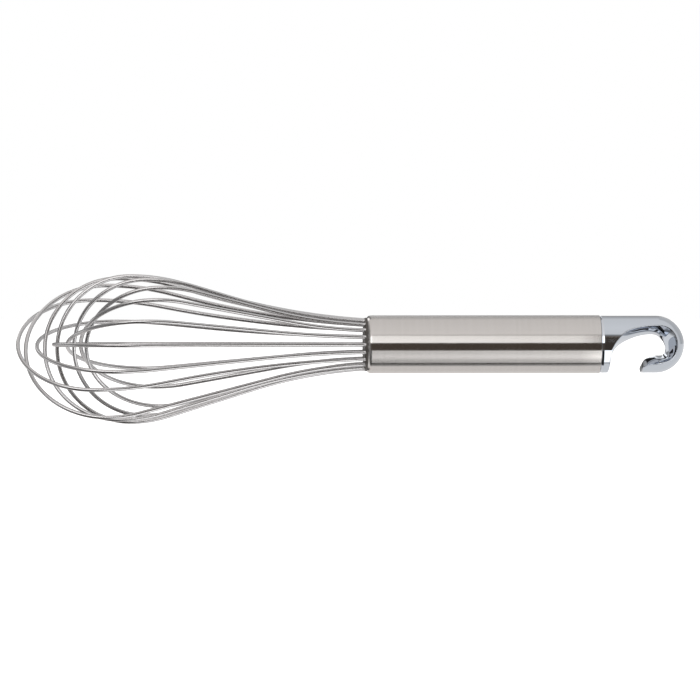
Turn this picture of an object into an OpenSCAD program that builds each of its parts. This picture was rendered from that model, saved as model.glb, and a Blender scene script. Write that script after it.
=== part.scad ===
// Balloon whisk with a sealed steel handle and a hanging hook.
// The whisk lies along X: the wire balloon points to -X and the hook to +X. The hook is drawn in the
// XZ plane with its mouth towards -Z. The origin is on the axis, where the handle's nose meets its
// full diameter. Millimetres.

/* [Handle] */
// Outside diameter of the handle tube
handle_d = 26; // [26:0.5:30]
// Wall thickness of the handle tube
handle_wall = 1; // [0.8:0.1:1.2]
// Length of the tube at its full diameter
handle_len = 102.5; // [90:0.5:160]
// Radius that rounds the tube's front edge
nose_r = 2; // [1.6:0.1:2.4]

/* [Wires] */
// Diameter of the spring wire
wire_d = 1.8; // [1.4:0.1:1.9]
// Radius of the circle on which the wires enter the handle
leg_circle_r = 10.9; // [10.6:0.1:10.9]
// Angle to the axis at which a wire leaves the handle
exit_angle = 4; // [3:0.5:5]
// Steepest angle of a wire to the axis where the balloon opens
flare_angle = 17.5; // [17:0.5:18]
// Share of the two bends that belongs to the hollow one at the handle
flare_share = 0.78; // [0.6:0.02:0.8]
// How far each leg runs into the handle
embed_len = 28; // [24:1:40]

/* [Plug, potting and guide] */
// How far the front plug stands out of the full-diameter tube
plug_out = 3.1; // [2.8:0.1:3.6]
// How far the plug reaches into the tube
plug_in = 4; // [3:0.5:6]
// Thickness of the guide disc behind the potting
guide_t = 2; // [1.5:0.5:3]

/* [Hook cap] */
// Outside diameter of the cap
cap_d = 25.5; // [24.5:0.1:25.5]
// Length of the spigot inside the tube
spigot_len = 14; // [12:1:20]
// Distance from the tube's end to the groove for the seal
groove_pos = 7; // [5:0.5:9]
// Thickness of the sealing ring
seal_d = 1.2; // [1:0.1:1.4]

/* [Hidden] */

handle_r = handle_d / 2;
bore_r = handle_r - handle_wall;
wire_r = wire_d / 2;
fit_gap = 0.03;
insert_r = bore_r - fit_gap;
hole_r = wire_r + fit_gap;
join_step = 0.01;
join_len = 0.4;
join_gap = 0.02;
round_fn = 96;
wire_fn = 48;
arc_fn = 240;

// One row per loop, longest first: reach of the tip ahead of the handle, radius of the round end, and
// how far that end sits to one side of the axis in the loop's own plane.
LOOPS = [
    [157.5, 33.5, 0],
    [154, 36, 3.5],
    [149, 35, 2.5],
    [145.5, 33, 2],
    [141.5, 33, 0],
    [140, 32.5, 2],
    [135.5, 35, -1],
    [132.5, 32, 1.5],
    [129.5, 33.5, 0.5],
    [127, 33, 1.5]
];
loop_step = 180 / len(LOOPS);
exit_bend_r = 20;

// Loops alternate to either side of the 45 degree plane, each pair one step further out, so that
// neighbours in length stand well apart in angle. The angle is measured from -Y towards -Z.
function loop_angle(i) = 45 + (i % 2 == 0 ? -1 : 1) * (floor(i / 2) + 0.5) * loop_step;

// The hook cap, measured from the end of the tube. Each row gives one point of the mouth's edge in
// the middle plane [along, up] and how far it has moved outwards where the wall meets the surface.
cap_r = cap_d / 2;
cap_straight = 25.4;
MOUTH = [
    [[3.4, -15], [-0.2, 0]],
    [[4.4, -9.2], [-0.3, 0.2]],
    [[5.4, -4.8], [-0.6, 0.5]],
    [[9.2, -0.2], [-1.4, 1.1]],
    [[16.8, 3.4], [-2.4, 3]],
    [[24.4, 4.3], [0.6, 4.4]],
    [[28.2, 1.8], [4, 4.9]],
    [[29.7, -1.9], [5, 1.9]],
    [[28.6, -4.7], [3.8, -1.6]],
    [[24.5, -5.2], [0.9, -3.5]],
    [[20.3, -7], [0.4, -2.6]],
    [[19, -10.4], [-0.2, -0.6]],
    [[18.5, -15], [-0.6, 0]]
];
mouth_steps = 4;
flare_at_y = 9.5;
flare_power = 1.5;
MOUTH_SECTIONS = [-14, -9.5, -6, -3, 0, 3, 6, 9.5, 14];

groove_r = insert_r - seal_d - fit_gap;
groove_w = seal_d + 0.6;
plug_edge_r = 1;

// Everything on the whisk's axis is turned about Z first and then laid along +X.
module along_x(x = 0) {
    translate([x, 0, 0])
        rotate([0, 90, 0])
            children();
}

// A rod of wire in the XY plane, bent to a radius: it starts at angle a0 about the centre. Both ends
// stop a hair short, so that no two bends touch face to face.
module bent_rod(centre, radius, a0, sweep) {
    gap_angle = join_gap / radius * 180 / PI;
    translate([centre[0], centre[1], 0])
        rotate([0, 0, a0 + gap_angle])
            rotate_extrude(angle = sweep - 2 * gap_angle, $fn = arc_fn)
                translate([radius, 0])
                    circle(r = wire_r, $fn = wire_fn);
}

// A straight rod of wire in the XY plane, from a point along a direction. It is a hair thinner than
// the bends and runs a little way into them, so that the rods join into one solid.
module straight_rod(start, direction, length, lead_in = join_len) {
    translate([start[0], start[1], 0])
        rotate([0, 0, direction])
            translate([-lead_in, 0, 0])
                rotate([0, 90, 0])
                    cylinder(r = wire_r - join_step, h = length + lead_in + join_len, $fn = wire_fn);
}

// One leg of a loop on the +Y side. It leaves the plug through a small bend at the exit angle, opens
// through the hollow bend, runs straight at the flare angle and closes through the shoulder bend,
// which ends parallel to the axis at the height and distance given. The hollow and the shoulder bend
// share the radius bends_r between them.
module leg(belly_x, belly_y) {
    exit_end = [-plug_out - exit_bend_r * sin(exit_angle),
                leg_circle_r + exit_bend_r * (1 - cos(exit_angle))];
    run = belly_x + exit_end[0];
    rise = belly_y - exit_end[1];
    bends_run = sin(flare_angle) - flare_share * sin(exit_angle);
    bends_rise = 1 - cos(flare_angle) - flare_share * (1 - cos(exit_angle));
    bends_r = (run * sin(flare_angle) - rise * cos(flare_angle))
        / (bends_run * sin(flare_angle) - bends_rise * cos(flare_angle));
    straight_len = (run - bends_r * bends_run) / cos(flare_angle);
    hollow_r = bends_r * flare_share;
    shoulder_r = bends_r - hollow_r;
    hollow_centre = exit_end + hollow_r * [sin(exit_angle), cos(exit_angle)];
    hollow_end = hollow_centre - hollow_r * [sin(flare_angle), cos(flare_angle)];
    straight_rod([embed_len, leg_circle_r], 180, embed_len + plug_out, 0);
    bent_rod([-plug_out, leg_circle_r + exit_bend_r], exit_bend_r, -90 - exit_angle, exit_angle);
    straight_rod(exit_end, 180 - exit_angle, 0);
    bent_rod(hollow_centre, hollow_r, -90 - flare_angle, flare_angle - exit_angle);
    straight_rod(hollow_end, 180 - flare_angle, straight_len);
    bent_rod([-belly_x, belly_y - shoulder_r], shoulder_r, 90 - flare_angle, flare_angle);
    straight_rod([-belly_x, belly_y], 180, 0);
}

// A whole loop: two legs and the round end between them.
module wire_loop(i) {
    reach = LOOPS[i][0];
    end_r = LOOPS[i][1];
    side = LOOPS[i][2];
    belly_x = reach - end_r;
    color("silver")
        rotate([180 + loop_angle(i), 0, 0]) {
            leg(belly_x, end_r + side);
            mirror([0, 1, 0])
                leg(belly_x, end_r - side);
            bent_rod([-belly_x, side], end_r, 90, 180);
        }
}

// The twenty holes that hold the legs, for the plug, the potting and the guide disc.
module leg_holes(x_from, x_to) {
    for (i = [0 : 2 * len(LOOPS) - 1])
        rotate([loop_angle(0) + i * loop_step, 0, 0])
            translate([0, leg_circle_r, 0])
                along_x(x_from)
                    cylinder(r = hole_r, h = x_to - x_from, $fn = wire_fn);
}

module handle_tube() {
    color("lightgray")
        along_x()
            rotate_extrude($fn = round_fn) {
                translate([bore_r, 0])
                    square([handle_wall, handle_len]);
                intersection() {
                    translate([handle_r - nose_r, 0])
                        circle(r = nose_r, $fn = round_fn);
                    translate([bore_r, -nose_r])
                        square([handle_wall, nose_r]);
                }
            }
}

// Dark plug in the tube's mouth, with a rounded edge in front.
module front_plug() {
    color("dimgray")
        difference() {
            along_x()
                rotate_extrude($fn = round_fn) {
                    translate([0, plug_edge_r - plug_out])
                        square([insert_r, plug_in + plug_out - plug_edge_r]);
                    translate([0, -plug_out])
                        square([insert_r - plug_edge_r, plug_in + plug_out]);
                    translate([insert_r - plug_edge_r, plug_edge_r - plug_out])
                        circle(r = plug_edge_r, $fn = round_fn);
                }
            leg_holes(-plug_out - 1, plug_in + 1);
        }
}

// Resin that locks the legs, from the plug to the guide disc.
module resin_core() {
    color("peru")
        difference() {
            along_x(plug_in)
                cylinder(r = insert_r, h = embed_len - guide_t - plug_in, $fn = round_fn);
            leg_holes(plug_in - 1, embed_len);
        }
}

module wire_guide() {
    color("gray")
        difference() {
            along_x(embed_len - guide_t)
                cylinder(r = insert_r, h = guide_t, $fn = round_fn);
            leg_holes(embed_len - guide_t - 1, embed_len + 1);
        }
}

module cap_seal() {
    color("black")
        along_x(handle_len - groove_pos)
            rotate_extrude($fn = round_fn)
                translate([insert_r - seal_d / 2, 0])
                    circle(r = seal_d / 2, $fn = wire_fn);
}

// A smooth curve through the rows of MOUTH: point t of a section at the distance y from the middle.
function mouth_row(i, y) = MOUTH[i][0] + MOUTH[i][1] * pow(abs(y) / flare_at_y, flare_power);
function row_near(i) = min(max(i, 0), len(MOUTH) - 1);
function smooth_point(a, b, c, d, s) =
    b + (c - a) * s / 2 + (2 * a - 5 * b + 4 * c - d) * s * s / 2 + (3 * b - a - 3 * c + d) * s * s * s / 2;
function mouth_point(t, y) =
    let (i = min(floor(t), len(MOUTH) - 2))
    smooth_point(mouth_row(row_near(i - 1), y), mouth_row(i, y), mouth_row(i + 1, y),
                 mouth_row(row_near(i + 2), y), t - i);

// The solid that is cut away for the mouth. Its wall is narrowest in the middle plane and flares
// towards both sides.
module mouth_cutter() {
    count = (len(MOUTH) - 1) * mouth_steps + 1;
    sections = len(MOUTH_SECTIONS);
    points = [for (y = MOUTH_SECTIONS) for (k = [0 : count - 1])
        let (p = mouth_point(k / mouth_steps, y)) [p[0], y, p[1]]];
    walls = [for (s = [0 : sections - 2]) for (k = [0 : count - 1])
        let (a = s * count + k, b = s * count + (k + 1) % count)
        for (f = [[a, b + count, b], [a, a + count, b + count]]) f];
    near_face = [for (k = [0 : count - 1]) k];
    far_face = [for (k = [count - 1 : -1 : 0]) (sections - 1) * count + k];
    polyhedron(points = points, faces = concat([near_face, far_face], walls), convexity = 6);
}

// Cap with its spigot, the groove for the seal, the round end and the hook's mouth.
module hook_cap() {
    color("lightsteelblue")
        difference() {
            union() {
                along_x(handle_len - spigot_len)
                    cylinder(r = insert_r, h = spigot_len, $fn = round_fn);
                along_x(handle_len)
                    cylinder(r = cap_r, h = cap_straight, $fn = round_fn);
                translate([handle_len + cap_straight, 0, 0])
                    sphere(r = cap_r, $fn = round_fn);
            }
            along_x(handle_len - groove_pos - groove_w / 2)
                rotate_extrude($fn = round_fn)
                    translate([groove_r, 0])
                        square([handle_r, groove_w]);
            translate([handle_len, 0, 0])
                mouth_cutter();
        }
}

handle_tube();
hook_cap();
cap_seal();
front_plug();
resin_core();
wire_guide();
for (i = [0 : len(LOOPS) - 1])
    wire_loop(i);
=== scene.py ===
"""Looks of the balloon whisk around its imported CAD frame: wires, brushed handle, chrome hook cap.

Metres, in the frame of the part: X runs along the whisk towards the hook, Z is up and the camera
looks along +Y.
"""

import math

import bpy
import numpy as np
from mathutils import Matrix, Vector


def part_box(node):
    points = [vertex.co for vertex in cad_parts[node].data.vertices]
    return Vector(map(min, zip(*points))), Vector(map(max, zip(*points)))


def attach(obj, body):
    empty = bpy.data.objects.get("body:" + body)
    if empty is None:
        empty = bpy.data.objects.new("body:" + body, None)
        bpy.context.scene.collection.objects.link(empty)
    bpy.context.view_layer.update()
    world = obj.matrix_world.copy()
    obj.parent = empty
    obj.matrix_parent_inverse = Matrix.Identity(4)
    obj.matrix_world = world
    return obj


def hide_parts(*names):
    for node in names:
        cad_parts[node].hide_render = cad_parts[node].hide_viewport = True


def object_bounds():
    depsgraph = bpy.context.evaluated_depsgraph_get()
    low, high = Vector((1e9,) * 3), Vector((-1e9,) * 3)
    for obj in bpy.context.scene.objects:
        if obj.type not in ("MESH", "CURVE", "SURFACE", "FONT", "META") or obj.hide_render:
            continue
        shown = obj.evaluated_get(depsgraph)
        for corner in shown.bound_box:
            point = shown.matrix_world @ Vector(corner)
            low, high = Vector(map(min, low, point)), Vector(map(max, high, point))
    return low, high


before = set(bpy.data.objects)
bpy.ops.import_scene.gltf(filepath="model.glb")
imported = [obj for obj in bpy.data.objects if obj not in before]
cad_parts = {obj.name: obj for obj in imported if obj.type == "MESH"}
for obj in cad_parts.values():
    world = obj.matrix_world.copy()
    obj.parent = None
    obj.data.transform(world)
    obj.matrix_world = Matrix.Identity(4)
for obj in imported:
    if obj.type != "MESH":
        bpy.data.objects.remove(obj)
cad_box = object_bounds()
MM = 0.001

# ---------------------------------------------------------------- sizes, from frame and design
TUBE_LO, TUBE_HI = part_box("handle_tube")
CAP_LO, CAP_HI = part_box("hook_cap")
PLUG_LO, PLUG_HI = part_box("front_plug")
SEAL_LO, SEAL_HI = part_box("cap_seal")
tube_r = TUBE_HI.z
tube_end = TUBE_HI.x
tube_edge = 0.08 * MM
wall = 1 * MM
bore_r = tube_r - wall
nose_len = -TUBE_LO.x
nose_r = (nose_len ** 2 + wall ** 2) / (2 * wall)

insert_r = PLUG_HI.z
cap_r = CAP_HI.z
dome_x = CAP_HI.x - cap_r
seam_flatness = 0.4
seam_edge = 0.5 * MM
spigot_edge = 0.4 * MM
groove_x = (SEAL_LO.x + SEAL_HI.x) / 2
groove_half = 0.9 * MM
groove_depth = 1.23 * MM
groove_edge = 0.15 * MM

wire_r = 0.9 * MM
leg_circle_r = 10.9 * MM
exit_x = PLUG_LO.x
exit_bend_r = 20 * MM
exit_angle = math.radians(4)
flare = math.radians(17.5)
flare_share = 0.78
LOOP_COUNT = 10
loop_middle = math.radians(225)

# The hook's mouth, written in millimetres: one row per point of its edge in the middle plane
# [along, up] from the tube's end, and how far that point has moved at mouth_flare_y from the
# middle. Past mouth_limit_y, outside the metal, it moves no further.
MOUTH = np.array([
    [[3.4, -15], [-0.2, 0]],
    [[4.4, -9.2], [-0.3, 0.2]],
    [[5.4, -4.8], [-0.6, 0.5]],
    [[9.2, -0.2], [-1.4, 1.1]],
    [[16.8, 3.4], [-2.4, 3]],
    [[24.4, 4.3], [0.6, 4.4]],
    [[28.2, 1.8], [4, 4.9]],
    [[29.7, -1.9], [5, 1.9]],
    [[28.6, -4.7], [3.8, -1.6]],
    [[24.5, -5.2], [0.9, -3.5]],
    [[20.3, -7], [0.4, -2.6]],
    [[19, -10.4], [-0.2, -0.6]],
    [[18.5, -15], [-0.6, 0]],
]) * MM
mouth_flare_y = 9.5 * MM
mouth_flare_power = 1.5
mouth_limit_y = 14 * MM
# How far the mouth's edge is rounded, at chosen rows of MOUTH.
CREASE_ROWS = [0, 3, 7, 8, 12]
CREASE_SIZES = np.array([0.5, 0.35, 0.35, 0.3, 0.3]) * MM


# ---------------------------------------------------------------- mesh helpers
def make_object(name, verts, faces, uvs=None, normals=None):
    """A smooth-shaded mesh object from arrays; uvs has one pair per face corner."""
    mesh = bpy.data.meshes.new(name)
    mesh.from_pydata([tuple(v) for v in verts], [], [tuple(f) for f in faces])
    mesh.update()
    if uvs is not None:
        layer = mesh.uv_layers.new(name="along")
        layer.data.foreach_set("uv", np.asarray(uvs, float).ravel())
    mesh.polygons.foreach_set("use_smooth", [True] * len(mesh.polygons))
    if normals is not None:
        mesh.normals_split_custom_set_from_vertices([tuple(n) for n in normals])
    obj = bpy.data.objects.new(name, mesh)
    bpy.context.scene.collection.objects.link(obj)
    return obj


def grid_mesh(rings, closed_rings=False):
    """Faces and corner uvs for equal rings of points, each closed on itself.

    With closed_rings the last ring is joined to the first. U is the length along the rings in
    metres, V the share of the way round.
    """
    count, sides = rings.shape[:2]
    faces = []
    uvs = []
    last = count if closed_rings else count - 1
    steps = np.linalg.norm(np.diff(rings[:, 0], axis=0), axis=1)
    length = np.concatenate([[0], np.cumsum(steps)])
    for i in range(last):
        j = (i + 1) % count
        for k in range(sides):
            m = (k + 1) % sides
            faces.append((i * sides + k, j * sides + k, j * sides + m, i * sides + m))
            v0, v1 = k / sides, (k + 1) / sides
            u0, u1 = length[i], length[j] if j else length[i]
            uvs += [(u0, v0), (u1, v0), (u1, v1), (u0, v1)]
    return faces, uvs


def lathe(name, profile, sides=192):
    """A closed profile of [x, r] points turned about the X axis."""
    profile = np.array(profile)
    angle = np.linspace(0, 2 * math.pi, sides, endpoint=False)
    rings = np.stack([
        np.repeat(profile[:, :1], sides, axis=1),
        profile[:, 1:] * np.cos(angle),
        profile[:, 1:] * np.sin(angle),
    ], axis=2)
    faces, uvs = grid_mesh(rings, closed_rings=True)
    return make_object(name, rings.reshape(-1, 3), faces, uvs)


def arc(cx, cr, radius, start, stop, steps):
    """Points [x, r] on an arc about (cx, cr), angles in degrees."""
    return [[cx + radius * math.cos(math.radians(a)), cr + radius * math.sin(math.radians(a))]
            for a in np.linspace(start, stop, steps)]


# ---------------------------------------------------------------- handle
def handle_tube():
    """The tube, with its rolled-in nose and a finely rounded edge at the cap's end."""
    nose_start = 180 - math.degrees(math.asin((nose_r - wall) / nose_r))
    return lathe("tube", [
        [0, bore_r],
        *arc(0, tube_r - nose_r, nose_r, nose_start, 90, steps=16),
        *[[x, tube_r] for x in np.linspace(tube_edge, tube_end - 2 * tube_edge, 12)],
        *arc(tube_end - tube_edge, tube_r - tube_edge, tube_edge, 60, 0, steps=4),
        [tube_end, bore_r],
    ])


# ---------------------------------------------------------------- wires
def loop_angle(i):
    """Angle of loop i about X: the loops spread from loop_middle to either side in turns."""
    step = math.radians(180 / LOOP_COUNT)
    return loop_middle + (-1 if i % 2 == 0 else 1) * (i // 2 + 0.5) * step


def loop_sizes(i):
    """Reach, end radius and side offset of loop i, worked out from its CAD box."""
    lo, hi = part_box(f"wire_loop_{i + 1}")
    turn = loop_angle(i)
    c, s = math.cos(turn), math.sin(turn)
    use_y = abs(c) > abs(s)
    high, low = (hi.y, lo.y) if use_y else (hi.z, lo.z)
    share = c if use_y else s
    plus, minus = (high - wire_r) / abs(share), (-low - wire_r) / abs(share)
    if share < 0:
        plus, minus = minus, plus
    return -lo.x - wire_r, (plus + minus) / 2, (plus - minus) / 2


def arc_2d(centre, radius, start, stop, spacing):
    """Centreline points on an arc, angles in radians."""
    steps = max(3, int(abs(stop - start) * radius / spacing) + 1)
    a = np.linspace(start, stop, steps)
    return np.stack([centre[0] + radius * np.cos(a), centre[1] + radius * np.sin(a)], axis=1)


def leg_line(belly_x, belly_y, embed):
    """Centreline of one leg, from inside the handle through its bends to the balloon's belly."""
    down, up = -math.pi / 2, math.pi / 2
    exit_centre = np.array([exit_x, leg_circle_r + exit_bend_r])
    exit_normal = np.array([math.sin(exit_angle), math.cos(exit_angle)])
    exit_end = exit_centre - exit_bend_r * exit_normal
    run = belly_x + exit_end[0]
    rise = belly_y - exit_end[1]
    bends_run = math.sin(flare) - flare_share * math.sin(exit_angle)
    bends_rise = 1 - math.cos(flare) - flare_share * (1 - math.cos(exit_angle))
    bends_r = (run * math.sin(flare) - rise * math.cos(flare)) / (
        bends_run * math.sin(flare) - bends_rise * math.cos(flare))
    hollow_r = bends_r * flare_share
    shoulder_r = bends_r - hollow_r
    hollow_centre = exit_end + hollow_r * exit_normal
    shoulder_centre = (-belly_x, belly_y - shoulder_r)
    return np.concatenate([
        [[embed, leg_circle_r], [embed / 2, leg_circle_r]],
        arc_2d(exit_centre, exit_bend_r, down, down - exit_angle, spacing=0.3 * MM),
        arc_2d(hollow_centre, hollow_r, down - exit_angle, down - flare, spacing=1.5 * MM)[1:],
        arc_2d(shoulder_centre, shoulder_r, up - flare, up, spacing=1.2 * MM),
    ])


def wire_loop(i, sides=24):
    """One wire loop, swept along its centreline in its own plane."""
    reach, end_r, side = loop_sizes(i)
    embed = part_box(f"wire_loop_{i + 1}")[1].x
    belly_x = reach - end_r
    leg_a = leg_line(belly_x, end_r + side, embed)
    leg_b = leg_line(belly_x, end_r - side, embed)[::-1] * [1, -1]
    tip = arc_2d((-belly_x, side), end_r, math.pi / 2, 1.5 * math.pi, spacing=0.8 * MM)
    points = np.concatenate([leg_a, tip[1:-1], leg_b])
    forward = np.zeros_like(points)
    forward[1:-1] = points[2:] - points[:-2]
    forward[0], forward[-1] = points[1] - points[0], points[-1] - points[-2]
    forward /= np.linalg.norm(forward, axis=1)[:, None]
    across = np.stack([-forward[:, 1], forward[:, 0]], axis=1)
    ring_angle = np.linspace(0, 2 * math.pi, sides, endpoint=False)
    c, s = np.cos(ring_angle), np.sin(ring_angle)
    flat = points[:, None, :] + wire_r * across[:, None, :] * c[None, :, None]
    lift = np.broadcast_to(wire_r * s, flat.shape[:2])
    turn = loop_angle(i)
    rings = np.stack([
        flat[..., 0],
        flat[..., 1] * math.cos(turn) - lift * math.sin(turn),
        flat[..., 1] * math.sin(turn) + lift * math.cos(turn),
    ], axis=2)
    faces, uvs = grid_mesh(rings)
    last = len(points) - 1
    first_cap = tuple(range(sides))
    last_cap = tuple(last * sides + k for k in reversed(range(sides)))
    faces += [first_cap, last_cap]
    uvs += [(0, 0)] * (2 * sides)
    return make_object(f"loop_{i + 1}", rings.reshape(-1, 3), faces, uvs)


# ---------------------------------------------------------------- hook cap
def section_point(p):
    """Points in the plane of their own section [along, up], and its distance from the middle."""
    along_up = np.stack([p[:, 0] - tube_end, p[:, 2]], axis=1)
    return along_up, np.minimum(np.abs(p[:, 1]), mouth_limit_y)


def mouth_curve(t, y):
    """Point and slope of the mouth's wall at curve parameter t and distance y from the middle.

    The wall is a smooth curve through the rows of MOUTH, and t counts those rows.
    """
    spread = (np.abs(y) / mouth_flare_y) ** mouth_flare_power
    i = np.clip(np.floor(t).astype(int), 0, len(MOUTH) - 2)
    s = (t - i)[:, None]

    def row(k):
        k = np.clip(k, 0, len(MOUTH) - 1)
        return MOUTH[k, 0] + MOUTH[k, 1] * spread[:, None]

    a, b, c, d = row(i - 1), row(i), row(i + 1), row(i + 2)
    square = 2 * a - 5 * b + 4 * c - d
    cube = 3 * b - a - 3 * c + d
    point = b + (c - a) * s / 2 + square * s ** 2 / 2 + cube * s ** 3 / 2
    slope = (c - a) / 2 + square * s + cube * s ** 2 * 3 / 2
    return point, slope


def nearest_row(p, tries=97):
    """Curve parameter of the mouth's wall nearest to each point, from a coarse search."""
    query, y = section_point(p)
    best = np.full(len(p), np.inf)
    best_t = np.zeros(len(p))
    for t in np.linspace(0, len(MOUTH) - 1, tries):
        gap = ((mouth_curve(np.full(len(p), t), y)[0] - query) ** 2).sum(1)
        closer = gap < best
        best[closer] = gap[closer]
        best_t[closer] = t
    return best_t


def mouth_depth(p, t, rounds=3, longest=0.1):
    """How far points lie inside the mouth (negative in the metal), near wall parameter t.

    Each round moves t towards the nearest wall point by no more than longest, in rows.
    """
    query, y = section_point(p)
    for _ in range(rounds):
        q, dq = mouth_curve(t, y)
        step = ((query - q) * dq).sum(1) / np.maximum((dq ** 2).sum(1), 1e-12)
        t = np.clip(t + np.clip(step, -longest, longest), 0, len(MOUTH) - 1)
    q, dq = mouth_curve(t, y)
    dq /= np.maximum(np.linalg.norm(dq, axis=1), 1e-12)[:, None]
    off = query - q
    return off[:, 0] * dq[:, 1] - off[:, 1] * dq[:, 0]


def smooth_max(a, b, k):
    """The larger of two distances, rounded where they cross."""
    h = np.maximum(k - np.abs(a - b), 0) / k
    return np.maximum(a, b) + h * h * k / 4


def cylinder_distance(x, r, x0, x1, r1, edge):
    """Distance to a turned cylinder from x0 to x1 of radius r1 with rounded edges."""
    dx = np.abs(x - (x0 + x1) / 2) - (x1 - x0) / 2 + edge
    dr = r - r1 + edge
    outside = np.hypot(np.maximum(dx, 0), np.maximum(dr, 0))
    return outside + np.minimum(np.maximum(dx, dr), 0) - edge


def cap_distance(p, t):
    """Implicit form of the cap: round-ended cylinder and spigot, less the seal groove and mouth."""
    x, r = p[:, 0], np.hypot(p[:, 1], p[:, 2])
    past = np.maximum(x - dome_x, 0)
    body = smooth_max(np.hypot(past, r) - cap_r, seam_flatness * (tube_end - x), seam_edge)
    spigot = cylinder_distance(x, r, CAP_LO.x, dome_x, insert_r, spigot_edge)
    solid = np.minimum(body, spigot)
    groove = np.maximum(np.abs(x - groove_x) - groove_half, insert_r - groove_depth - r)
    solid = smooth_max(solid, -groove, groove_edge)
    return smooth_max(solid, mouth_depth(p, t), np.interp(t, CREASE_ROWS, CREASE_SIZES))


def gradient(p, t, step=0.01 * MM):
    """Numerical gradient of cap_distance."""
    g = np.zeros_like(p)
    for axis in range(3):
        d = np.zeros(3)
        d[axis] = step
        g[:, axis] = (cap_distance(p + d, t) - cap_distance(p - d, t)) / (2 * step)
    return g


def hook_cap(voxel=0.3 * MM, rounds=4, longest=0.15 * MM, least_slope=0.05):
    """The cap as a dense even mesh drawn onto its implicit form, for clean reflections.

    In each round a vertex moves by no more than longest, and least_slope keeps it from running off
    where the form's gradient vanishes.
    """
    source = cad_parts["hook_cap"]
    obj = bpy.data.objects.new("cap", source.data.copy())
    bpy.context.scene.collection.objects.link(obj)
    obj.data.materials.clear()
    remesh = obj.modifiers.new("even", "REMESH")
    remesh.mode = "VOXEL"
    remesh.voxel_size = voxel
    graph = bpy.context.evaluated_depsgraph_get()
    even = bpy.data.meshes.new_from_object(obj.evaluated_get(graph))
    bpy.data.objects.remove(obj)
    count = len(even.vertices)
    p = np.empty(count * 3)
    even.vertices.foreach_get("co", p)
    p = p.reshape(-1, 3)
    t = nearest_row(p)
    for _ in range(rounds):
        value = cap_distance(p, t)
        g = gradient(p, t)
        move = -g * (value / np.maximum((g ** 2).sum(1), least_slope))[:, None]
        size = np.linalg.norm(move, axis=1)
        p = p + move * np.minimum(1, longest / np.maximum(size, 1e-9))[:, None]
    g = gradient(p, t)
    g /= np.maximum(np.linalg.norm(g, axis=1), 1e-9)[:, None]
    faces = [tuple(f.vertices) for f in even.polygons]
    return make_object("cap", p, faces, normals=g)


# ---------------------------------------------------------------- materials
class Nodes:
    """Short calls to build a node tree."""

    def __init__(self, tree):
        self.tree = tree
        tree.nodes.clear()

    def add(self, kind, **settings):
        node = self.tree.nodes.new(kind)
        for key, value in settings.items():
            setattr(node, key, value)
        return node

    def link(self, a, b):
        self.tree.links.new(a, b)

    def value(self, socket, x):
        """Links a socket to another one, or sets its plain value."""
        if hasattr(x, "is_output"):
            self.link(x, socket)
        else:
            socket.default_value = x

    def math(self, operation, a, b=0.0):
        node = self.add("ShaderNodeMath", operation=operation)
        self.value(node.inputs[0], a)
        self.value(node.inputs[1], b)
        return node.outputs[0]

    def remap(self, x, a, b, c, d):
        """x in a to b becomes c to d, and stops at both ends."""
        node = self.add("ShaderNodeMapRange", clamp=True)
        for k, v in enumerate((x, a, b, c, d)):
            self.value(node.inputs[k], v)
        return node.outputs[0]

    def band(self, x, lo, hi, soft):
        """1 from lo to hi, and falls to 0 over soft on either side."""
        rise = self.remap(x, lo - soft, lo, 0, 1)
        return self.math("MULTIPLY", rise, self.remap(x, hi, hi + soft, 1, 0))

    def mix(self, fac, a, b):
        """Blend of two colours; 6, 7 and 2 are the node's colour sockets."""
        node = self.add("ShaderNodeMix", data_type="RGBA")
        self.value(node.inputs[0], fac)
        self.value(node.inputs[6], a)
        self.value(node.inputs[7], b)
        return node.outputs[2]

    def noise(self, vector, scale, detail=2.0, rough=0.5):
        node = self.add("ShaderNodeTexNoise")
        self.link(vector, node.inputs["Vector"])
        node.inputs["Scale"].default_value = scale
        node.inputs["Detail"].default_value = detail
        node.inputs["Roughness"].default_value = rough
        return node.outputs["Fac"]

    def stretch(self, vector, scale):
        node = self.add("ShaderNodeMapping")
        self.link(vector, node.inputs["Vector"])
        node.inputs["Scale"].default_value = scale
        return node.outputs[0]

    def ramp(self, fac, stops):
        """A straight-line colour ramp through (position, colour) stops."""
        node = self.add("ShaderNodeValToRGB")
        elements = node.color_ramp.elements
        while len(elements) > 1:
            elements.remove(elements[0])
        elements[0].position = stops[0][0]
        elements[0].color = (*stops[0][1], 1)
        for position, colour in stops[1:]:
            elements.new(position).color = (*colour, 1)
        self.value(node.inputs[0], fac)
        return node.outputs[0]


def metal(name, roughness):
    """A new metal with its Principled shader; roughness holds until its socket is linked."""
    material = bpy.data.materials.new(name)
    material.use_nodes = True
    n = Nodes(material.node_tree)
    shader = n.add("ShaderNodeBsdfPrincipled")
    shader.inputs["Metallic"].default_value = 1.0
    shader.inputs["Roughness"].default_value = roughness
    out = n.add("ShaderNodeOutputMaterial")
    n.link(shader.outputs[0], out.inputs[0])
    return material, n, shader


def add_colour(n, shader, fac, dark, light):
    """Base colour between two colours."""
    n.link(n.mix(fac, (*dark, 1), (*light, 1)), shader.inputs["Base Color"])


def add_bump(n, shader, height, strength, distance):
    """Connects a height to the shader's normal."""
    bump = n.add("ShaderNodeBump")
    bump.inputs["Strength"].default_value = strength
    bump.inputs["Distance"].default_value = distance
    n.link(height, bump.inputs["Height"])
    n.link(bump.outputs[0], shader.inputs["Normal"])


def uv_tangent(n, shader):
    """Aims the shader's anisotropy along the piece's own length."""
    node = n.add("ShaderNodeTangent", direction_type="UV_MAP", uv_map="along")
    n.link(node.outputs[0], shader.inputs["Tangent"])


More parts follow.
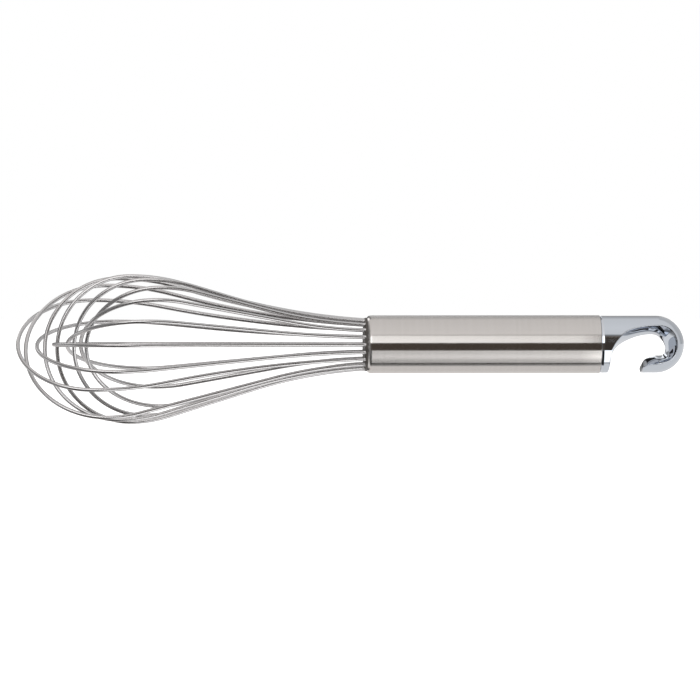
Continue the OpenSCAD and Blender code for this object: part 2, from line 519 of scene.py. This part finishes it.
def handle_steel():
    """Stainless tube, brushed around its circumference: the noise is fine along X only."""
    material, n, shader = metal("handle_steel", 0.28)
    shader.inputs["Anisotropic"].default_value = 1.0
    uv_tangent(n, shader)
    where = n.add("ShaderNodeTexCoord").outputs["Object"]
    fine = n.noise(n.stretch(where, (3200, 18, 18)), 1.0, 3.0, 0.6)
    broad = n.noise(n.stretch(where, (420, 9, 9)), 1.0, 2.0, 0.5)
    smudge = n.noise(where, 45.0, 3.0, 0.55)
    streak = n.math("ADD", n.math("MULTIPLY", fine, 0.6), n.math("MULTIPLY", broad, 0.4))
    tone = n.remap(streak, 0.35, 0.65, 0, 1)
    add_colour(n, shader, tone, (0.591, 0.567, 0.547), (0.619, 0.595, 0.576))
    brushed = n.remap(streak, 0.3, 0.7, 0.175, 0.205)
    rough = n.math("ADD", brushed, n.remap(smudge, 0.35, 0.75, 0.0, 0.02))
    n.link(rough, shader.inputs["Roughness"])
    add_bump(n, shader, streak, 0.06, 0.02 * MM)
    return material


def cap_chrome():
    """Mirror chrome with the faintest handling marks."""
    material, n, shader = metal("cap_chrome", 0.05)
    where = n.add("ShaderNodeTexCoord").outputs["Object"]
    smudge = n.noise(where, 160.0, 4.0, 0.6)
    n.link(n.remap(smudge, 0.45, 0.75, 0.02, 0.06), shader.inputs["Roughness"])
    add_colour(n, shader, n.noise(where, 60.0), (0.585, 0.615, 0.665), (0.61, 0.64, 0.69))
    ripple = n.noise(where, 240.0, 1.0, 0.4)
    add_bump(n, shader, ripple, 0.04, 0.03 * MM)
    return material


def wire_steel():
    """Bright drawn spring wire with lengthwise draw marks."""
    material, n, shader = metal("wire_steel", 0.2)
    shader.inputs["Anisotropic"].default_value = 0.4
    shader.inputs["Anisotropic Rotation"].default_value = 0.25
    uv_tangent(n, shader)
    coords = n.add("ShaderNodeTexCoord")
    along = coords.outputs["UV"]
    marks = n.noise(n.stretch(along, (60, 24, 1)), 1.0, 3.0, 0.6)
    wear = n.noise(coords.outputs["Object"], 120.0, 3.0, 0.5)
    tone = n.remap(marks, 0.3, 0.7, 0, 1)
    add_colour(n, shader, tone, (0.52, 0.51, 0.512), (0.625, 0.615, 0.617))
    drawn = n.remap(marks, 0.3, 0.7, 0.2, 0.28)
    rough = n.math("ADD", drawn, n.remap(wear, 0.4, 0.7, 0.0, 0.05))
    n.link(rough, shader.inputs["Roughness"])
    add_bump(n, shader, marks, 0.08, 0.01 * MM)
    return material


def moulded(name, dark, light, roughness, grain, bump, spread=0.08):
    """A matt non-metal: cast resin, rubber or plastic, with a fine grain."""
    material, n, shader = metal(name, roughness)
    shader.inputs["Metallic"].default_value = 0.0
    where = n.add("ShaderNodeTexCoord").outputs["Object"]
    speck = n.noise(where, grain, 4.0, 0.6)
    add_colour(n, shader, n.remap(speck, 0.3, 0.7, 0, 1), dark, light)
    rough = n.remap(speck, 0.3, 0.7, roughness - spread, roughness + spread)
    n.link(rough, shader.inputs["Roughness"])
    add_bump(n, shader, speck, bump, 0.05 * MM)
    return material


# ---------------------------------------------------------------- stage
def camera():
    """Camera at the picture's viewing angle, aimed a little ahead of the handle's nose."""
    data = bpy.data.cameras.new("camera")
    obj = bpy.data.objects.new("camera", data)
    bpy.context.scene.collection.objects.link(obj)
    yaw, rise, distance = math.radians(-3.0), math.radians(0.75), 2.5
    aim = Vector((-9.27 * MM, 0, -2.49 * MM))
    back = Vector((
        math.sin(yaw) * math.cos(rise),
        -math.cos(yaw) * math.cos(rise),
        math.sin(rise),
    ))
    data.sensor_width = 36.0
    data.lens = 287.6
    data.clip_start, data.clip_end = 0.1, 50.0
    obj.location = aim + back * distance
    obj.rotation_mode = "QUATERNION"
    obj.rotation_quaternion = (-back).to_track_quat("-Z", "Y")
    bpy.context.scene.camera = obj


def shade(level, tint=(1.0, 1.0, 1.0)):
    """A grey of that brightness, tinted."""
    return tuple(level * t for t in tint)


WARM = (1.03, 1.0, 0.985)
BROWN = (1.25, 1.0, 0.82)
COOL = (0.98, 1.0, 1.02)

# Brightness of the studio against the angle about the X axis, in degrees: 0 is towards the
# camera's side, 90 straight up, -90 straight down and 180 behind the object. One list each for
# directions that lean to the balloon's end and to the hook's end.
LEFT_SIDE = [
    (-180, shade(0.84, WARM)), (-97, shade(0.85, WARM)), (-94.5, shade(0.02)), (-80, shade(0.02)),
    (-77, shade(0.05)), (-58, shade(0.09, COOL)), (-38, shade(0.1, COOL)), (-25, shade(0.2, COOL)),
    (-23, shade(0.075, BROWN)), (5.5, shade(0.07, BROWN)), (7.5, shade(2.6)), (33.5, shade(2.2)),
    (36.5, shade(1.08, WARM)), (60, shade(0.93, WARM)), (124, shade(0.8, WARM)), (134, shade(0.6)),
    (145, shade(0.45)), (160, shade(0.35)), (180, shade(0.32)),
]
RIGHT_SIDE = [
    (-180, shade(0.82)), (-90.5, shade(0.86)), (-88.5, shade(0.02)), (-82, shade(0.02)),
    (-80, shade(1.05)), (-75, shade(1.25)), (-66, shade(1.45)), (-60, shade(1.95)),
    (-55, shade(2.3)), (-48, shade(2.35)), (-42, shade(2.1)), (-33, shade(1.75)),
    (-26, shade(1.95)), (-24, shade(0.045, BROWN)), (26, shade(0.05, BROWN)),
    (31, shade(0.12, BROWN)), (38, shade(0.3)), (43, shade(0.84)), (70, shade(0.88)),
    (124, shade(0.8)), (134, shade(0.62)), (145, shade(0.5)), (160, shade(0.38)),
    (180, shade(0.32)),
]
# Directions are split by their x: from one list to the other over SPLIT, and to plain greys over
# the fades near the two ends. No level is above TOP_LEVEL, because a ramp's colours stop at 1.
SPLIT = (0.08, 0.092)
LEFT_FADE, RIGHT_FADE = (-0.5, -0.75), (0.8, 0.95)
LEFT_END, RIGHT_END = 0.28, 0.8
TOP_LEVEL = 4.0

# Cards and flags that stand in that studio: range of x, range of angle, brightness, softness of
# the edge in x and in degrees.
CARDS = [
    ((-0.5, 0.045), (-75, -27), 0.015, 0.02, 2),
    ((0.09, 0.128), (-77.5, -24.5), 1.9, 0.01, 1),
    ((0.09, 0.128), (-81.5, -79), 0.02, 0.01, 0.5),
    ((0.09, 0.128), (-98, -83), 0.86, 0.01, 1),
    ((-0.48, -0.33), (128, 166), 1.6, 0.02, 4),
    ((-0.2, -0.07), (122, 176), 0.02, 0.02, 4),
    ((-0.05, 0.02), (140, 165), 1.3, 0.015, 4),
    ((-0.5, -0.37), (-165, -124), 0.03, 0.03, 4),
    ((-1.1, -0.62), (-181, -100), 0.95, 0.08, 8),
    ((-1.1, -0.62), (165, 181), 0.95, 0.08, 8),
    ((0.2, 0.8), (125, 181), 0.6, 0.05, 8),
]


def turn_at(degrees):
    """The turn that stands for an angle about X: 0 at -180 degrees and 1 at +180."""
    return (degrees + 180) / 360


def scaled(level):
    """A plain grey of the studio, as a share of TOP_LEVEL."""
    return (*shade(level / TOP_LEVEL), 1)


def ring_ramp(n, turn, table):
    """A ramp round the X axis from a list of angles and colours."""
    return n.ramp(turn, [(turn_at(a), tuple(min(c / TOP_LEVEL, 1) for c in colour))
                         for a, colour in table])


def studio():
    """Soft studio light as the world: white to the camera, light and dark strips to the metal."""
    world = bpy.data.worlds.new("studio")
    bpy.context.scene.world = world
    world.use_nodes = True
    n = Nodes(world.node_tree)
    split = n.add("ShaderNodeSeparateXYZ")
    n.link(n.add("ShaderNodeTexCoord").outputs["Generated"], split.inputs[0])
    x, y, z = split.outputs
    turn = n.math("ARCTAN2", z, n.math("MULTIPLY", y, -1.0))
    turn = n.math("ADD", n.math("DIVIDE", turn, 2 * math.pi), 0.5)
    left, right = ring_ramp(n, turn, LEFT_SIDE), ring_ramp(n, turn, RIGHT_SIDE)
    rings = n.mix(n.remap(x, *SPLIT, 0, 1), left, right)
    rings = n.mix(n.remap(x, *LEFT_FADE, 0, 1), rings, scaled(LEFT_END))
    rings = n.mix(n.remap(x, *RIGHT_FADE, 0, 1), rings, scaled(RIGHT_END))
    for (x0, x1), (a0, a1), level, soft_x, soft_a in CARDS:
        in_x = n.band(x, x0, x1, soft_x)
        in_turn = n.band(turn, turn_at(a0), turn_at(a1), soft_a / 360)
        rings = n.mix(n.math("MULTIPLY", in_x, in_turn), rings, scaled(level))
    light = n.add("ShaderNodeBackground")
    n.link(rings, light.inputs["Color"])
    light.inputs["Strength"].default_value = TOP_LEVEL
    white = n.add("ShaderNodeBackground")
    white.inputs["Color"].default_value = (1, 1, 1, 1)
    seen = n.add("ShaderNodeLightPath").outputs["Is Camera Ray"]
    choose = n.add("ShaderNodeMixShader")
    n.link(seen, choose.inputs[0])
    n.link(light.outputs[0], choose.inputs[1])
    n.link(white.outputs[0], choose.inputs[2])
    out = n.add("ShaderNodeOutputWorld")
    n.link(choose.outputs[0], out.inputs[0])


def floor():
    """A plain pale floor just under the balloon, with a little light of its own."""
    level = cad_box[0].z
    sides, radius = 96, 6.0
    verts = [(radius * math.cos(a), radius * math.sin(a), level)
             for a in np.linspace(0, 2 * math.pi, sides, endpoint=False)]
    obj = make_object("floor", verts, [tuple(range(sides))])
    material = bpy.data.materials.new("pale_floor")
    material.use_nodes = True
    n = Nodes(material.node_tree)
    matt = n.add("ShaderNodeBsdfDiffuse")
    where = n.add("ShaderNodeTexCoord").outputs["Object"]
    pale = n.mix(n.noise(where, 9.0), (0.86, 0.86, 0.86, 1), (0.9, 0.9, 0.9, 1))
    n.link(pale, matt.inputs["Color"])
    glow = n.add("ShaderNodeEmission")
    glow.inputs["Strength"].default_value = 0.6
    both = n.add("ShaderNodeAddShader")
    n.link(matt.outputs[0], both.inputs[0])
    n.link(glow.outputs[0], both.inputs[1])
    out = n.add("ShaderNodeOutputMaterial")
    n.link(both.outputs[0], out.inputs[0])
    obj.data.materials.append(material)
    obj.visible_glossy = False


def soft_light():
    """A wide soft light overhead for the floor and the matt pieces."""
    data = bpy.data.lights.new("soft_top", "AREA")
    data.shape = "RECTANGLE"
    data.size, data.size_y = 1.6, 1.2
    data.energy = 6.0
    obj = bpy.data.objects.new("soft_top", data)
    bpy.context.scene.collection.objects.link(obj)
    obj.location = (0, -0.3, 1.5)
    obj.rotation_euler = (math.radians(-11), 0, 0)
    obj.visible_glossy = False


# ---------------------------------------------------------------- build
def dress(obj, slot, material, *nodes):
    """Gives a new piece its material and its body, and hides the CAD nodes that it stands for."""
    obj.data.materials.clear()
    obj.data.materials.append(material)
    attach(obj, "root")
    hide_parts(*nodes)


def paint(node, material):
    """Gives a carried-over CAD node its material."""
    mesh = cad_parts[node].data
    mesh.materials.clear()
    mesh.materials.append(material)


# The CAD nodes that show as they are: material, dark and light colour, roughness, grain and bump.
MOULDED = {
    "front_plug": ("plug_dark", (0.03, 0.026, 0.023), (0.07, 0.06, 0.052), 0.5, 900.0, 0.3),
    "cap_seal": ("seal_rubber", (0.01, 0.01, 0.01), (0.025, 0.025, 0.025), 0.6, 1500.0, 0.2),
    "resin_core": ("potting_resin", (0.4, 0.28, 0.15), (0.5, 0.37, 0.22), 0.35, 300.0, 0.2),
    "wire_guide": ("guide_plastic", (0.22, 0.22, 0.22), (0.3, 0.3, 0.3), 0.45, 700.0, 0.2),
}

bpy.context.scene.view_settings.view_transform = "Standard"
camera()
studio()
floor()
soft_light()

dress(handle_tube(), "handle_steel", handle_steel(), "handle_tube")
dress(hook_cap(), "cap_chrome", cap_chrome(), "hook_cap")
wire_material = wire_steel()
for i in range(LOOP_COUNT):
    dress(wire_loop(i), "wire_steel", wire_material, f"wire_loop_{i + 1}")
for node, finish in MOULDED.items():
    paint(node, moulded(*finish))
